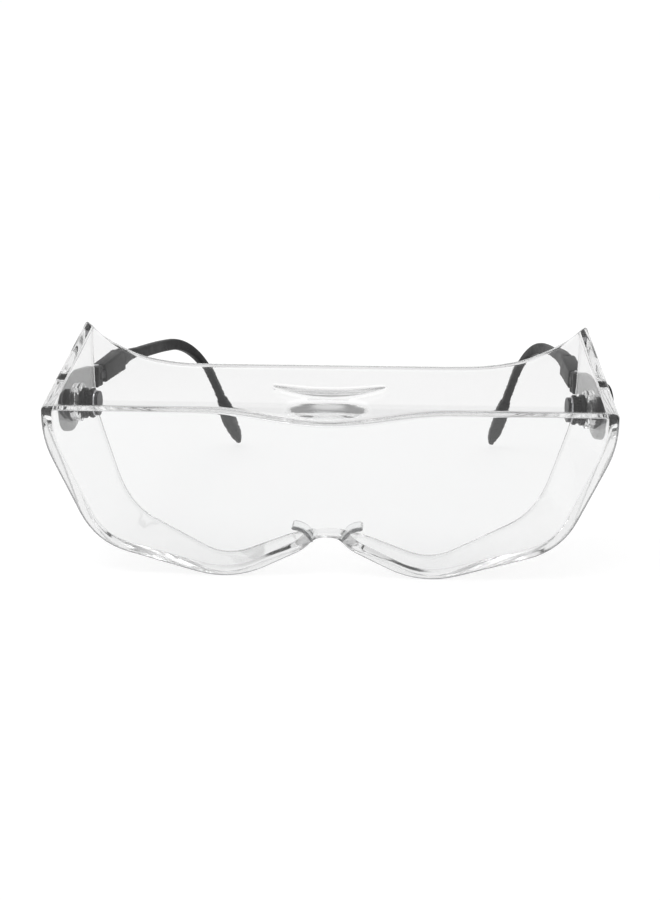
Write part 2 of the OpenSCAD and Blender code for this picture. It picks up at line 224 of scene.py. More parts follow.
def on_brow(x, y):
    """A point on the slope of the brow."""
    return [x, y, RIDGE_Z + BROW_RISE * y]


# Corners of half the outline, from the middle of the brow round to the middle of the nose: at the
# front face, then at the open rear rim, and how far back from each corner its rounding starts
FRONT = np.array(
    [on_brow(x, 0) for x in (0, 11, 22, 33, 45, 57, 70, RIDGE_HALF)]
    + [[RIDGE_HALF + 0.3, 0, 40.5], [68.3, 0, 9.5], [28, 0, -1.9],
       [6.8, 0, NOSE_Z - 3.4], [3.4, 0, NOSE_Z + 0.2], [0, 0, NOSE_Z + 0.3]], float)
REAR = np.array(
    [on_brow(x, BROW_DEPTH - 0.2) for x in (0, 12, 24, 36)]
    + [on_brow(47, BROW_DEPTH + 0.3), on_brow(58, BROW_DEPTH + 3.6),
       on_brow(71, WING_DEPTH - 12), on_brow(80.8, WING_DEPTH),
       [79.6, 45.7, 42], [67.5, 40, 8.5], [31, 14.5, -0.6],
       [9.5, 10, NOSE_Z - 2.4], [3.9, 2.9, NOSE_Z + 0.7], [0, 2.6, NOSE_Z + 0.8]], float)
FRONT_CUT = [0, 4, 4, 4, 4, 4, 4, 1.6, 7, 10, 11, 2.3, 2.3, 0]
REAR_CUT = [0, 4, 4, 4, 5, 5, 7, 3, 8, 12, 9, 3, 2.3, 0]
INNER_CUT = [0, 4, 4, 4, 4, 4, 4, 0.9, 6, 8, 9, 1.8, 1.8, 0]
# Height of the face's middle, half width of the softer ridge, rounding of the rim, and how many
# rows of points each stretch takes
FACE_MIDDLE, SOFT_HALF, RIM_R = 27.0, 40, 0.75
FACE_STEPS, FOLD_STEPS, RIM_STEPS, OUTER_WALL_STEPS, INNER_WALL_STEPS = 22, 9, 5, 70, 14


def panel_normal(k):
    """Inward normal of the wall between two neighbouring corners."""
    across = REAR[k] - FRONT[k] + REAR[k + 1] - FRONT[k + 1]
    along = FRONT[k + 1] - FRONT[k] + REAR[k + 1] - REAR[k]
    return unit(np.cross(across, along))


def miter(k):
    """How a corner moves when the walls beside it move inward by one."""
    last = len(FRONT) - 1
    if k in (0, last):
        n = panel_normal(0 if k == 0 else last - 1)
        flat = np.array([0, n[1], n[2]])
        return flat / (flat @ n)
    a, b = panel_normal(k - 1), panel_normal(k)
    return (a + b) / (1 + a @ b)


def rounded(corners, cuts, arc=8, run=7):
    """A chain of corners with each corner rounded, and points along the straight runs."""
    out = [corners[0]]

    def run_to(p):
        start = out[-1]
        for i in range(1, run):
            out.append(start + (p - start) * i / run)

    for k in range(1, len(corners) - 1):
        c = corners[k]
        a = c + cuts[k] * unit(corners[k - 1] - c)
        b = c + cuts[k] * unit(corners[k + 1] - c)
        run_to(a)
        for i in range(arc + 1):
            t = i / arc
            out.append((a * (1 - t) + c * t) * (1 - t) + (c * (1 - t) + b * t) * t)
    run_to(corners[-1])
    out.append(corners[-1])
    return np.array(out)


def whole_loop(corners, cuts):
    """Half an outline, rounded and mirrored into a full loop."""
    half = rounded(corners, cuts)
    return np.vstack([half, (half * [-1, 1, 1])[-2:0:-1]])


def crown(x, half):
    """1 in the middle, falling softly to 0 at a half width."""
    return np.where(np.abs(x) < half, np.cos(np.clip(x / half, -1, 1) * math.pi / 2) ** 2, 0)


def bulged(p):
    """The middle of the brow and face pushed forward along the slope of the brow."""
    across = crown(p[:, 0], BULGE_HALF)
    down = np.clip((p[:, 2] - NOSE_Z) / (RIDGE_Z - NOSE_Z), 0, 1) ** 1.4
    back = np.clip(1 - np.maximum(p[:, 1] - WALL, 0) / (BROW_DEPTH - 4 - WALL), 0, 1)
    push = BULGE * across * down * back ** 2
    return p - push[:, None] * np.array([0, 1, BROW_RISE])


def ease(value, start, stop):
    """0 before start, 1 after stop and a soft step between."""
    t = np.clip((value - start) / (stop - start), 0, 1)
    return t * t * (3 - 2 * t)


def tapered(x, half, full):
    """A length that shrinks to nothing at a half width, as an ellipse does."""
    return full * np.sqrt(np.clip(1 - (x / half) ** 2, 0, 1))


def step_up(y, middle, half, slope, before, after):
    """A steady rise through zero, led into and out of over softer lengths."""
    lead_in = ease(y, middle - half - before, middle - half)
    lead_out = 1 - ease(y, middle + half, middle + half + after)
    return slope * np.clip(y - middle, -half, half) * lead_in * lead_out


def on_top(p):
    """Which points lie on the brow."""
    return p[:, 2] > RIDGE_Z - 1


def crease_line(x):
    """How far back the crease lies at a distance from the middle."""
    return CREASE_Y + CREASE_BOW * (x / CREASE_HALF) ** 2


def crease_painted_shade(p):
    """Painted shade along the crease, a grey standing in for the dark line its bend draws in the clear
    plastic, fading to nothing at its borders.
    """
    x = np.abs(p[:, 0])
    reach = tapered(x, CREASE_HALF, 1.3 * CREASE_LONG) + 0.01
    away = np.abs(p[:, 1] - crease_line(x))
    return CREASE_PAINTED_SHADE * (1 - ease(away, 0.5 * reach, reach)) * on_top(p)


def scoop(p):
    """Heights over the brow: a scooped hollow behind the middle of the ridge, then a crease."""
    x, y = np.abs(p[:, 0]), p[:, 1]
    waver = 0.006 * np.sin(3.1 * y + 0.4 * p[:, 0])
    hollow = step_up(y, SCOOP_Y, tapered(x, SCOOP_HALF, SCOOP_LONG), SCOOP_SLOPE + waver, 0.7, 2.5)
    crease = step_up(y, crease_line(x), tapered(x, CREASE_HALF, CREASE_LONG), CREASE_SLOPE, 1.8, 1.2)
    return np.where(on_top(p), hollow + crease, 0)


def topped(p):
    """Outer rows of the shield with the bulge and the scoop."""
    slope = math.atan(BROW_RISE)
    return bulged(p) + scoop(p)[:, None] * np.array([0, -math.sin(slope), math.cos(slope)])


def corner_arc(before, corner, after, cut, steps):
    """Rows of points round a fold, for every place along the loop at once."""
    cut = np.reshape(cut, (-1, 1))
    to_before = before - corner
    to_after = after - corner
    to_before /= np.linalg.norm(to_before, axis=1)[:, None]
    to_after /= np.linalg.norm(to_after, axis=1)[:, None]
    a, b = corner + cut * to_before, corner + cut * to_after
    rows = []
    for i in range(steps + 1):
        t = i / steps
        rows.append((a * (1 - t) + corner * t) * (1 - t) + (corner * (1 - t) + b * t) * t)
    return rows


def straight(a, b, steps):
    """Rows strictly between two rows, with one more close to each."""
    along = b - a
    near = np.minimum(0.3 / np.linalg.norm(along, axis=1), 0.4 / steps)[:, None]
    between = [a + along * i / steps for i in range(1, steps)]
    return [a + along * near] + between + [b - along * near]


def inner_corners():
    """Corners of the inner face and of the inner rear rim, one wall thickness in."""
    front, rear = [], []
    for k in range(len(FRONT)):
        start, along = FRONT[k] + WALL * miter(k), REAR[k] - FRONT[k]
        front.append(start + along * ((WALL - start[1]) / along[1]))
        rear.append(REAR[k] + WALL * miter(k))
    return np.array(front), np.array(rear)


def shield_rows():
    """Loops of points from the middle of the face out, round the rim and back in, with the painted edge
    shade of each.
    """
    front_in, rear_in = inner_corners()
    front, rear = whole_loop(FRONT, FRONT_CUT), whole_loop(REAR, REAR_CUT)
    inner_front, inner_rear = whole_loop(front_in, INNER_CUT), whole_loop(rear_in, REAR_CUT)
    middle = np.tile(np.array([0, 0, FACE_MIDDLE]), (len(front), 1))
    inner_middle = middle + [0, WALL, 0]
    soft = np.where(front[:, 2] > 40, crown(front[:, 0], SOFT_HALF), 0)
    calm = 1 - 0.75 * (1 - ease(np.abs(front[:, 0]), 5, 11)) * (front[:, 2] < 30)
    room = 0.45 * np.linalg.norm(inner_front - inner_rear, axis=1)

    fold = corner_arc(middle, front, rear, 0.55 + 0.45 * soft, FOLD_STEPS)
    rim = corner_arc(front, rear, inner_rear, RIM_R, RIM_STEPS)
    inner_rim = corner_arc(rear, inner_rear, inner_front, np.minimum(RIM_R, room), RIM_STEPS)
    inner_fold = corner_arc(inner_rear, inner_front, inner_middle,
                            np.minimum(0.5 + 0.8 * soft, room), FOLD_STEPS)

    # Painted shade on the ridge, the rims and the inner fold: grey standing in for the dark lines
    # refraction draws along these clear edges, fainter near the nose
    ridge_painted_shade = np.where(on_top(front), BROW_LIP_PAINTED_SHADE * (1 - 0.6 * soft), 1) * calm
    lip_painted_shade = np.where(on_top(front), BROW_LIP_PAINTED_SHADE, LIP_PAINTED_SHADE) * calm
    outer = [(r, 0) for r in straight(middle, fold[0], FACE_STEPS)]
    outer += [(r, ridge_painted_shade) for r in fold]
    outer += [(r, crease_painted_shade(r)) for r in straight(fold[-1], rim[0], OUTER_WALL_STEPS)]
    outer += [(r, lip_painted_shade) for r in rim]
    inner = [(r, lip_painted_shade) for r in straight(rim[-1], inner_rim[0], 2) + inner_rim]
    inner += [(r, 0) for r in straight(inner_rim[-1], inner_fold[0], INNER_WALL_STEPS)]
    inner += [(r, FOLD_IN_PAINTED_SHADE * calm * (1 - soft)) for r in inner_fold]
    inner += [(r, 0) for r in straight(inner_fold[-1], inner_middle, FACE_STEPS)]
    return ([(middle[:1], 0)] + outer, inner + [(inner_middle[:1], 0)])


def shield_shape():
    """The one-piece shield: a lens face folded back into brow, side and bottom walls."""
    outer, inner = shield_rows()
    first, rows = bulged(outer[0][0]), [topped(r) for r, grey in outer[1:]]
    rows += [bulged(r) for r, grey in inner[:-1]]
    points = [*first] + [p for r in rows for p in r] + [*bulged(inner[-1][0])]
    edges = [e for r, grey in outer + inner for e in np.broadcast_to(grey, len(r))]
    n = len(rows[0])
    faces = [(0, 1 + (i + 1) % n, 1 + i) for i in range(n)]
    for j in range(len(rows) - 1):
        for i in range(n):
            a, b = 1 + j * n + i, 1 + j * n + (i + 1) % n
            faces.append((a, b, b + n, a + n))
    last = 1 + (len(rows) - 1) * n
    faces += [(last + i, last + (i + 1) % n, len(points) - 1) for i in range(n)]
    return points, faces, edges


def mark_edges(piece, points, edges, side="left"):
    """Keep on every vertex how much of an edge it is, from the nearest point of the shape; the clear
    material paints shade in grey and frosts the surface by this value.
    """
    tree = KDTree(len(points))
    for i, p in enumerate(placed(points, side)):
        tree.insert(p, i)
    tree.balance()
    marks = piece.data.attributes.new("edge", "FLOAT", "POINT")
    for vertex, mark in zip(piece.data.vertices, marks.data):
        mark.value = edges[tree.find(vertex.co)[1]]


def build_shield():
    """The shield with a bored boss on each side for the temple pivots."""
    points, faces, edges = shield_shape()
    shield = solid("clear_shield", points, faces, sharp=50)
    bosses = [rod("boss", BOSS_R, BOSS_LOW, BOSS_HIGH, "x", side=s, chamfer=0.5, steps=96)
              for s in SIDES]
    combine(shield, bosses, "UNION", 50)
    bores = [rod("bore", PIVOT_BORE_R, -8, 4, "x", side=s, steps=96) for s in SIDES]
    combine(shield, bores, "DIFFERENCE", 50)
    mark_edges(shield, points, edges)
    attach(shield, "shield")
    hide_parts("lens_shield")
    return shield


# ---- nose pads ----
# Middle of the curl beside the nose, its radius, the strip's thickness and its depth
PAD_X, PAD_Z, PAD_R, PAD_T, PAD_L = 9.9, 8.6, 5.6, 1.3, 7.8
PAD_START, PAD_STOP, PAD_GAP = 84.0, 168.0, 0.3
PAD_STATIONS, PAD_STEPS = 40, 48


def build_nose_pad(side):
    """A curled strip with soft edges lying against one side of the nose."""
    middle_y = WALL + PAD_GAP + PAD_L / 2
    rings, edges = [], []
    for j in range(PAD_STATIONS + 1):
        u = j / PAD_STATIONS
        a = math.radians(PAD_START + (PAD_STOP - PAD_START) * u)
        end = min(u, 1 - u) * (PAD_STATIONS / 5)
        full = math.sqrt(max(0.02, 1 - (1 - min(1, end)) ** 2))
        ring = []
        for i in range(PAD_STEPS):
            across, along = squarish(2 * math.pi * i / PAD_STEPS, 0.45)
            r = PAD_R + across * PAD_T / 2 * full
            q = along * PAD_L / 2 * (0.9 + 0.1 * full)
            ring.append((PAD_X + r * math.cos(a), middle_y + q, PAD_Z + r * math.sin(a)))
            # Painted shade: the strip's front and rear edges get the full dark edge grey
            edges.append(1.0 if abs(q) > 0.44 * PAD_L else 0.0)
        rings.append(ring)
    points, faces = ring_stack(rings)
    pad = solid("soft_nose_pad_" + side, points, faces, side, sharp=60)
    mark_edges(pad, points, edges, side)
    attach(pad, "shield")
    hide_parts("nose_pad_" + side)
    return pad


# ---- tilt brackets ----
PLATE_X, PLATE_T, PLATE_R, PLATE_END = 1.5, 2.5, 8.6, KNUCKLE_Y - 1.2
PLATE_FACE = PLATE_X + PLATE_T
HINGE_LOW, HINGE_HIGH, LUG_H, GAP = 0.7, 7.2, 2.0, 0.12
SLOT_LOW, SLOT_HIGH = HINGE_LOW + LUG_H, HINGE_HIGH - LUG_H
SPINDLE_R, SPINDLE_END = 2.5, -8.8 + 0.38
RIVET_R, RIVET_SET_R, RIVET_SET_T = 1.0, 1.9, 0.8
GROOVE_R, GROOVE_W, GROOVE_DEPTH = 6.9, 0.6, 0.25


def plate_outline():
    """A round end with two flanks running back to the fold hinge."""
    arc = [math.radians(a) for a in np.linspace(89.0, 291.5, 40)]
    ring = [(PLATE_R * math.cos(a), PLATE_R * math.sin(a)) for a in arc]
    return ring + [(PLATE_END, HINGE_LOW), (PLATE_END, HINGE_HIGH)]


def build_bracket(side):
    """The outer plate with its hollow spindle and the two lugs of the fold hinge."""
    plate = prism("moulded_bracket_" + side, plate_outline(), PLATE_X, PLATE_FACE, 0.55, side)
    hinge = (KNUCKLE_X, KNUCKLE_Y, 0)
    inner, outer = KNUCKLE_X - BARREL_R + 0.15, KNUCKLE_X + BARREL_R - 0.15
    shoulder = [(18.4, HINGE_LOW), (PLATE_END, HINGE_LOW), (PLATE_END, HINGE_HIGH), (19.9, HINGE_HIGH)]
    combine(plate, [
        prism("knuckle", shoulder, inner, PLATE_FACE, 0.4, side),
        rod("barrel", BARREL_R, HINGE_LOW, HINGE_HIGH, "z", hinge, side, chamfer=0.3),
        prism("web", oblong((PLATE_END - 1.2, HINGE_LOW + 0.2), (KNUCKLE_Y, HINGE_HIGH - 0.2)),
              inner, outer, 0, side),
        rod("spindle", SPINDLE_R, SPINDLE_END, PLATE_X + 0.5, "x", side=side),
    ], "UNION")
    groove = rod("groove", GROOVE_R, PLATE_FACE - GROOVE_DEPTH, 5, "x", side=side, steps=96)
    island = rod("island", GROOVE_R - GROOVE_W, PLATE_X, 6, "x", side=side, steps=96)
    combine(groove, [island], "DIFFERENCE")
    combine(plate, [
        rod("clear", BARREL_R + 0.3, SLOT_LOW, SLOT_HIGH, "z", hinge, side),
        prism("mouth", oblong((KNUCKLE_Y - BARREL_R, SLOT_LOW), (KNUCKLE_Y + 4, SLOT_HIGH)),
              KNUCKLE_X - BARREL_R - 1, KNUCKLE_X, 0, side),
        rod("bore", RIVET_R, -12, 5, "x", side=side),
        rod("rivet_seat", RIVET_SET_R, PLATE_FACE - RIVET_SET_T, 5, "x", side=side),
        groove,
        rod("pin", PIN_R, 0, 10, "z", hinge, side),
    ], "DIFFERENCE")
    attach(plate, "bracket_" + side)
    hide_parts("tilt_bracket_" + side)
    return plate


# ---- temples ----
BEND_DROP = BEND_R * (cos_d(FALL_ANGLE) - cos_d(DROP_ANGLE))
BEND_RUN = BEND_R * (sin_d(DROP_ANGLE) - sin_d(FALL_ANGLE))
RISE = math.tan(math.radians(SLEEVE_RISE))
ARM_Z = STEM_Z + (SLEEVE_L * cos_d(SLEEVE_RISE) + EASE_L / 2) * RISE
DROP_RUN = ((ARM_Z + PIVOT[2] - ARM_FALL - BEND_DROP - TIP_CLEAR)
            / math.tan(math.radians(DROP_ANGLE)))
SLEEVE_Y = SLEEVE_L * cos_d(SLEEVE_RISE)
LEVEL_START = SLEEVE_Y + EASE_L
REACH = BEND_START + BEND_RUN + DROP_RUN
TIP_START = REACH - TIP_L * cos_d(DROP_ANGLE)
LEAN_START = BEND_START - 12
# Size of the arm where it leaves the sleeve, and the stem that slides inside
ROOT_T, ROOT_H, TAPER_T, TAPER_H = 4.4, 6.6, 10, 18
STEM_T, STEM_H, STEM_START, NOTCH_R, NOTCH_Y, NOTCH_STEP = 2.8, 4.6, 5.6, 0.6, 15.5, 3


def clamp01(t):
    """A value held between 0 and 1."""
    return min(1.0, max(0.0, t))


def mix(a, b, t):
    """A value a share of the way from one to another."""
    return a + (b - a) * t


def arm_angle(s):
    """How steeply the arm falls at a distance behind the hinge."""
    if s < LEVEL_START:
        return -SLEEVE_RISE * (1 - clamp01((s - SLEEVE_Y) / EASE_L))
    if s < BEND_START:
        return FALL_ANGLE * (s - LEVEL_START) / (BEND_START - LEVEL_START)
    if s < BEND_START + BEND_RUN:
        return math.degrees(math.asin(sin_d(FALL_ANGLE) + (s - BEND_START) / BEND_R))
    return DROP_ANGLE


def arm_drop(s):
    """How far the arm has fallen below its highest line."""
    if s < SLEEVE_Y:
        return ARM_Z - STEM_Z - s * RISE
    if s < LEVEL_START:
        return (LEVEL_START - s) ** 2 * RISE / (2 * EASE_L)
    if s < BEND_START:
        return ARM_FALL * ((s - LEVEL_START) / (BEND_START - LEVEL_START)) ** 1.6
    if s < BEND_START + BEND_RUN:
        return ARM_FALL + BEND_R * (cos_d(FALL_ANGLE) - cos_d(arm_angle(s)))
    return ARM_FALL + BEND_DROP + (s - BEND_START - BEND_RUN) * math.tan(math.radians(DROP_ANGLE))


def arm_lean(s):
    """How far the arm leans in towards the head."""
    return EAR_LEAN * clamp01((s - LEAN_START) / (REACH - LEAN_START)) ** 1.7


def section(s, thick, high, power=0.6, steps=48):
    """A rounded section square to the arm's middle line."""
    angle = arm_angle(s)
    ring = []
    for i in range(steps):
        across, up = squarish(2 * math.pi * i / steps, power)
        u, v = thick / 2 * across, high / 2 * up
        ring.append((-arm_lean(s) + u, s + v * sin_d(angle), ARM_Z - arm_drop(s) + v * cos_d(angle)))
    return ring


def arm_thick(s):
    """Thickness of the arm, from the sleeve's mouth on."""
    return mix(ROOT_T, ARM_T, clamp01((s - SLEEVE_Y) / TAPER_T))


def arm_high(s):
    """Height of the arm's section, slimmer again past the bend."""
    if s < SLEEVE_Y + TAPER_H:
        return mix(ROOT_H, ARM_H, clamp01((s - SLEEVE_Y) / TAPER_H))
    return mix(ARM_H, ARM_H - 1, clamp01((s - BEND_START) / BEND_RUN))


def soft_end(u, share):
    """1 along a sweep, falling to a rounded edge within a share of its start."""
    t = clamp01(u / share)
    return math.sqrt(max(0.0, 1 - (1 - t) ** 2))


def build_arm(side):
    """The tapered arm with its rounded front rim and the notched stem inside the sleeve."""
    rim = [(SLEEVE_Y + 0.15 + d, k) for d, k in ((0, 0.86), (0.06, 0.93), (0.16, 0.98), (0.3, 1.0))]
    rest = [(s, 1.0) for s in np.linspace(SLEEVE_Y + 0.8, TIP_START + 0.6, 110)]
    rings = [section(s, arm_thick(s) * k, arm_high(s) * k) for s, k in rim + rest]
    points, faces = ring_stack(rings)
    arm = solid("temple_arm_shaped_" + side, points, faces, side, "knuckle")
    stem = block("stem", (-STEM_T / 2, STEM_START, -STEM_H / 2),
                 (STEM_T / 2, SLEEVE_L + 1.5, STEM_H / 2), 0.3, side, "sleeve")
    notches = [rod("notch", NOTCH_R, -3, 3, "z", (STEM_T / 2 + 0.35, NOTCH_Y - NOTCH_STEP * i, 0),
                   side, "sleeve", 32) for i in range(4)]
    combine(stem, notches, "DIFFERENCE")
    combine(arm, [stem], "UNION")
    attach(arm, "arm_" + side)
    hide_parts("temple_arm_" + side)
    return arm


def tip_wide(u):
    """Width of the ear tip along it, from 0 at its start to 1 at its end."""
    return (mix(ARM_T + 0.8, TIP_W, sin_d(90 * clamp01(u * 2.4)))
            * cos_d(62 * clamp01(u * 1.6 - 0.6) ** 2))


def tip_high(u):
    """Height of the ear tip's section along it."""
    return mix(ARM_H + 0.2, 5, sin_d(90 * clamp01(u * 3))) * cos_d(52 * clamp01(u * 1.5 - 0.5) ** 2)


def build_tip(side):
    """The soft ear tip with a fine groove near its start and a domed end."""
    rings = []
    for u in list(np.linspace(0, 0.02, 5)) + list(np.linspace(0.03, 1, 60)):
        k = 0.82 + 0.18 * soft_end(u, 0.02)
        if 0.05 < u < 0.075:
            k *= 0.955
        rings.append(section(mix(TIP_START + 0.1, REACH, u), tip_wide(u) * k, tip_high(u) * k, 0.7))
    dome = 1.1
    for i in range(1, 9):
        a = i / 8 * math.pi / 2 * 0.98
        rings.append(section(REACH + dome * math.sin(a), tip_wide(1) * math.cos(a),
                             tip_high(1) * math.cos(a), 0.7 + 0.3 * i / 8))
    points, faces = ring_stack(rings)
    tip = solid("ear_tip_soft_" + side, points, faces, side, "knuckle", 50)
    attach(tip, "arm_" + side)
    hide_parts("ear_tip_" + side)
    return tip


def build_sleeve(side):
    """The tapered sleeve with the fold hinge's barrel and a channel for the arm's stem."""
    low, high = SLOT_LOW + GAP, SLOT_HIGH - GAP
    body = prism("sleeve_shell_" + side, [(3.5, -2.9), (SLEEVE_L, -3.8), (SLEEVE_L, 3.4), (3.5, 3.2)],
                 -SLEEVE_T / 2, SLEEVE_T / 2, 0.9, side, "sleeve", segments=6)
    barrel = rod("barrel", BARREL_R - 0.05, low, high, "z", side=side, at="knuckle", chamfer=0.15)
    neck = block("neck", (-2.2, 0, low), (2.2, 4.6, high), 0, side)
    combine(body, [barrel, neck], "UNION")
    tools = [
        rod("bore", PIN_R + 0.06, 0, 10, "z", side=side, at="knuckle"),
        block("channel", (-1.5, 5.4, -2.4), (1.5, 30, 2.4), 0, side, "sleeve"),
        block("pocket", (1.4, 12, -1.4), (2.05, 19, 1.4), 0, side, "sleeve"),
    ]
    combine(body, tools, "DIFFERENCE")
    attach(body, "sleeve_" + side)
    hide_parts("temple_sleeve_" + side)
    return body


# ---- materials ----
class Nodes:
    """A short way to write a node tree."""

    def __init__(self, name):
        self.material = bpy.data.materials.new(name)
        self.material.use_nodes = True
        self.tree = self.material.node_tree
        self.shader = self.tree.nodes["Principled BSDF"]
        self.place = self.add("ShaderNodeTexCoord").outputs["Object"]

    def add(self, kind, inputs=None, **settings):
        made = self.tree.nodes.new(kind)
        for key, value in settings.items():
            setattr(made, key, value)
        for key, value in (inputs or {}).items():
            if hasattr(value, "is_output"):
                self.tree.links.new(value, made.inputs[key])
            else:
                made.inputs[key].default_value = value
        return made

    def stretched(self, scale):
        return self.add("ShaderNodeMapping", {"Vector": self.place, "Scale": scale}).outputs["Vector"]

    def noise(self, scale, detail=3.0, rough=0.5, place=None):
        made = self.add("ShaderNodeTexNoise", {
            "Vector": place or self.place, "Scale": scale, "Detail": detail, "Roughness": rough})
        return made.outputs["Fac"]

    def spread(self, value, low, high, start=0.3, stop=0.7):
        """A texture value spread between low and high."""
        return self.add("ShaderNodeMapRange", {
            "Value": value, "From Min": start, "From Max": stop, "To Min": low, "To Max": high,
        }).outputs["Result"]

    def tint(self, value, dark, pale):
        """A mix of two colours, each a triple or another output."""
        made = self.add("ShaderNodeMix", {"Factor": value}, data_type="RGBA")
        for socket, colour in ((6, dark), (7, pale)):
            if hasattr(colour, "is_output"):
                self.tree.links.new(colour, made.inputs[socket])
            else:
                made.inputs[socket].default_value = (*colour, 1)
        return made.outputs[2]

    def set(self, **values):
        for key, value in values.items():
            key = key.replace("_", " ")
            if hasattr(value, "is_output"):
                self.tree.links.new(value, self.shader.inputs[key])
            else:
                self.shader.inputs[key].default_value = value

    def bump(self, *layers):
        """Stack heights, each as (value, distance in metres, strength)."""
        normal = None
        for height, distance, strength in layers:
            inputs = {"Height": height, "Distance": distance, "Strength": strength}
            if normal is not None:
                inputs["Normal"] = normal
            normal = self.add("ShaderNodeBump", inputs).outputs["Normal"]
        self.tree.links.new(normal, self.shader.inputs["Normal"])


def clear_plastic(name, ior, face, wall, rough, wave):
    """Clear moulding: the lens face is painted a greyer colour than the walls behind it as painted
    shade, and grey is painted along the edges as painted shade.
    """
    m = Nodes(name)
    flow = m.spread(m.noise(38, 2), 0, 1)
    depth = m.add("ShaderNodeSeparateXYZ", {"Vector": m.place}).outputs["Y"]
    behind = m.spread(depth, 0, 1, (WALL - MID_Y) * MM, (WALL + 1 - MID_Y) * MM)
    colours = [m.tint(flow, tuple(c - 0.008 for c in pale), pale) for pale in (face, wall)]
    # The edge value paints shade: it mixes the base colour towards the dark edge grey and roughens the
    # surface along folds and rims
    edge = m.add("ShaderNodeAttribute", attribute_name="edge").outputs["Fac"]
    frost = m.spread(m.noise(1400, 4, 0.6), 0.12, 0.26)
    m.set(Base_Color=m.tint(edge, m.tint(behind, *colours), EDGE_PAINTED_SHADE), IOR=ior,
          Roughness=m.add("ShaderNodeMapRange", {
              "Value": edge, "From Max": 0.4, "To Max": frost,
              "To Min": m.spread(m.noise(900, 4, 0.6), rough[0], rough[1])}).outputs["Result"])
    m.shader.inputs["Transmission Weight"].default_value = 1.0
    m.bump((m.noise(55, 2), 0.0004, wave), (m.noise(1500, 2), 0.00002, 0.05))
    return m.material


def satin_black(name, dark, pale, rough, grain, grain_depth):
    """Black moulding with a faint cloud, uneven gloss and fine spark grain."""
    m = Nodes(name)
    cloud = m.noise(140, 4, 0.6)
    m.set(Base_Color=m.tint(m.spread(cloud, 0, 1), dark, pale),
          Roughness=m.spread(m.noise(420, 5, 0.65), rough[0], rough[1]))
    m.shader.inputs["Specular IOR Level"].default_value = 0.1
    m.bump((m.noise(grain, 3, 0.55), grain_depth, 0.5), (m.noise(260, 2), 0.00008, 0.25))
    return m.material


def turned_steel(name, colour, stretch, rough):
    """Steel with fine marks drawn out along one direction."""
    m = Nodes(name)
    brush = m.noise(600, 4, 0.7, m.stretched(stretch))
    m.set(Base_Color=m.tint(m.spread(brush, 0, 1), tuple(c * 0.8 for c in colour), colour),
          Roughness=m.spread(brush, rough[0], rough[1]), Metallic=1.0)
    m.bump((brush, 0.00001, 0.4), (m.noise(3000, 3), 0.000006, 0.3))
    return m.material


def finish_with(piece, material):
    """Give a piece one material."""
    piece.data.materials.clear()
    piece.data.materials.append(material)


def soften(node, width):
    """Rounded edges on a small CAD part, by modifiers alone."""
    weld = node.modifiers.new("weld", "WELD")
    weld.merge_threshold = 0.002 * MM
    bevel = node.modifiers.new("round", "BEVEL")
    bevel.width, bevel.segments = width * MM, 2
    bevel.limit_method, bevel.angle_limit = "ANGLE", math.radians(40)


# Dark grey painted along the clear edges as painted shade, standing in for the dark lines that
# refraction draws there
EDGE_PAINTED_SHADE = (0.16, 0.162, 0.165)
# The lens face's colour is greyer than the walls' as painted shade; the walls keep the plastic's own
# pale colour
CLEAR = clear_plastic("clear polycarbonate", 1.585, (0.88, 0.883, 0.883), (0.99, 0.99, 0.99),
                      (0.0, 0.02), 0.05)
PAD = clear_plastic("clear soft pad", 1.45, (0.93, 0.94, 0.94), (0.93, 0.94, 0.94),
                    (0.03, 0.12), 0.12)
BRACKET = satin_black("black bracket nylon", (0.004, 0.004, 0.0045), (0.009, 0.009, 0.0095),
                      (0.4, 0.55), 2600, 0.00003)
TEMPLE = satin_black("black temple nylon", (0.003, 0.003, 0.0035), (0.007, 0.007, 0.0075),
                     (0.34, 0.48), 2900, 0.000025)
RATCHET = satin_black("black ratchet acetal", (0.004, 0.004, 0.0045), (0.009, 0.009, 0.0095),
                      (0.26, 0.4), 1800, 0.00002)
TIP = satin_black("soft tip elastomer", (0.006, 0.006, 0.0065), (0.013, 0.013, 0.0135),
                  (0.24, 0.36), 2000, 0.00003)
DARK_PIN = turned_steel("blackened steel", (0.035, 0.035, 0.038), (1, 1, 12), (0.3, 0.5))
PIN = turned_steel("turned pin steel", (0.56, 0.56, 0.58), (1, 1, 12), (0.22, 0.4))
SPRING = turned_steel("rolled spring steel", (0.62, 0.62, 0.64), (1, 14, 1), (0.18, 0.34))

finish_with(build_shield(), CLEAR)
for side in SIDES:
    finish_with(build_nose_pad(side), PAD)
    finish_with(build_bracket(side), BRACKET)
    finish_with(build_sleeve(side), TEMPLE)
    finish_with(build_arm(side), TEMPLE)
    finish_with(build_tip(side), TIP)
    for part, material, width in (
            ("ratchet_ring_", RATCHET, 0.08), ("ratchet_cap_", RATCHET, 0.1),
            ("wave_spring_", SPRING, 0.05), ("pivot_rivet_", DARK_PIN, 0.15),
            ("hinge_pin_", PIN, 0.12), ("detent_spring_", SPRING, 0.03)):
        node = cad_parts[part + side]
        finish_with(node, material)
        soften(node, width)


# ---- studio ----
# Glow of the floor behind a line and before it, so that it reads as white paper behind the goggles
FLOOR_GLOW, FLOOR_DIM, GLOW_START, GLOW_FULL = 0.81, 0.25, -0.5, -0.3
# Light of the room all round, behind the goggles, over them and straight up
ROOM, BACKDROP, OVERHEAD, TOP = 0.75, 1.02, 0.3, 0.7


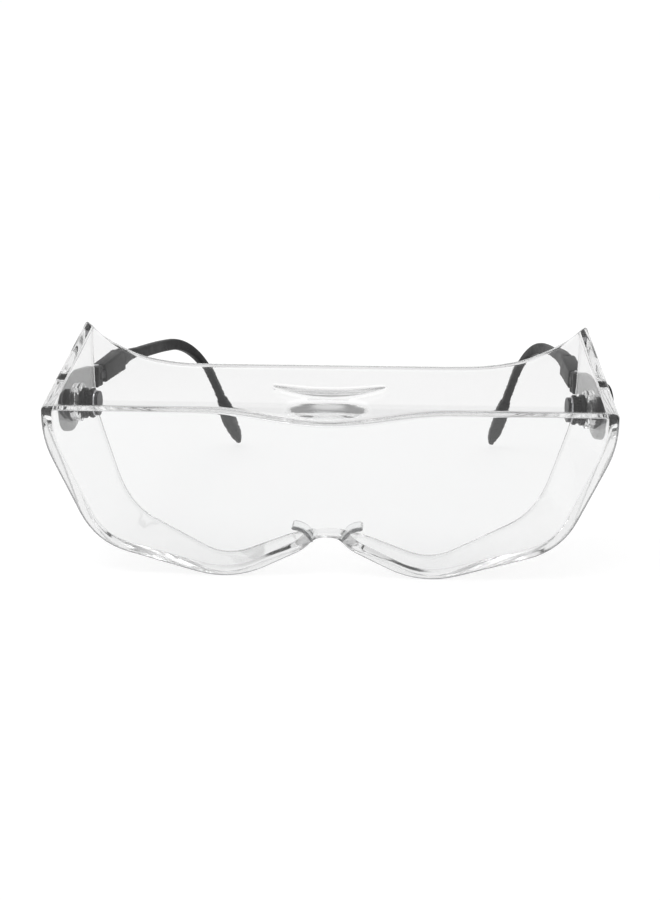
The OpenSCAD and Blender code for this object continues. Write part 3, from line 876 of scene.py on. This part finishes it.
def build_floor():
    """A round of pale paper with a faint unevenness."""
    bpy.ops.mesh.primitive_circle_add(vertices=96, radius=6, fill_type="NGON", location=(0, 0, 0))
    floor = bpy.context.object
    floor.name = "floor"
    m = Nodes("pale floor")
    m.set(Base_Color=m.tint(m.spread(m.noise(3, 3), 0, 1), (0.25, 0.25, 0.25), (0.27, 0.27, 0.27)),
          Roughness=m.spread(m.noise(8, 3), 0.75, 0.85))
    m.shader.inputs["Emission Color"].default_value = (1, 1, 1, 1)
    ahead = m.add("ShaderNodeSeparateXYZ", {"Vector": m.place}).outputs["Y"]
    m.set(Emission_Strength=m.spread(ahead, FLOOR_DIM, FLOOR_GLOW, GLOW_START, GLOW_FULL))
    m.bump((m.noise(60, 4), 0.0002, 0.2))
    finish_with(floor, m.material)


def build_light(name, place, aim, size, power):
    """A soft rectangular light turned towards a point."""
    data = bpy.data.lights.new(name, "AREA")
    data.shape, data.size, data.size_y, data.energy = "RECTANGLE", size[0], size[1], power
    light = bpy.data.objects.new(name, data)
    light.location = place
    light.rotation_euler = (Vector(aim) - Vector(place)).to_track_quat("-Z", "Y").to_euler()
    bpy.context.scene.collection.objects.link(light)


def build_world():
    """Bright behind the goggles and dimmer all round, so that the clear edges show against the white."""
    world = bpy.data.worlds.new("studio")
    bpy.context.scene.world = world
    world.use_nodes = True
    tree = world.node_tree
    back = tree.nodes["Background"]
    place = tree.nodes.new("ShaderNodeTexCoord")
    split = tree.nodes.new("ShaderNodeSeparateXYZ")
    tree.links.new(place.outputs["Generated"], split.inputs["Vector"])

    def spread(axis, start, stop, low, high):
        """A soft step from low to high along an axis of the sky."""
        made = tree.nodes.new("ShaderNodeMapRange")
        made.interpolation_type = "SMOOTHSTEP"
        limits = {"From Min": start, "From Max": stop, "To Min": low, "To Max": high}
        for key, value in limits.items():
            if hasattr(value, "is_output"):
                tree.links.new(value, made.inputs[key])
            else:
                made.inputs[key].default_value = value
        tree.links.new(split.outputs[axis], made.inputs["Value"])
        return made.outputs["Result"]

    # Round the horizon first, then a dim band high up that opens to a paler patch straight above
    around = spread("Y", 0.6, 0.85, ROOM, BACKDROP)
    above = spread("Z", 0.83, 0.89, OVERHEAD, TOP)
    tree.links.new(spread("Z", 0.62, 0.78, around, above), back.inputs["Strength"])
    back.inputs["Color"].default_value = (1, 1, 1, 1)


def build_camera():
    """A slightly raised camera in front of the goggles."""
    elevation, heading, roll = 13.0, 2.3, 0.4
    target, distance = Vector((0.0008, -MID_Y * MM, 0.0385)), 0.34
    back = Vector((sin_d(heading) * cos_d(elevation), -cos_d(heading) * cos_d(elevation),
                   sin_d(elevation)))
    right = (-back).cross(Vector((0, 0, 1))).normalized()
    up = right.cross(-back)
    tilted_right = right * cos_d(roll) + up * sin_d(roll)
    tilted_up = up * cos_d(roll) - right * sin_d(roll)
    data = bpy.data.cameras.new("camera")
    data.lens, data.sensor_width, data.clip_start = 47.4, 36, 0.01
    camera = bpy.data.objects.new("camera", data)
    matrix = Matrix((tilted_right, tilted_up, back)).transposed().to_4x4()
    matrix.translation = target + distance * back
    camera.matrix_world = matrix
    bpy.context.scene.collection.objects.link(camera)
    bpy.context.scene.camera = camera


build_floor()
build_light("overhead", (-0.5, -0.5, 1.5), (0, 0, 0.03), (1.0, 0.7), 6)
build_world()
build_camera()
bpy.context.scene.view_settings.view_transform = "Standard"
for limit in ("max_bounces", "glossy_bounces", "transmission_bounces"):
    setattr(bpy.context.scene.cycles, limit, 40)
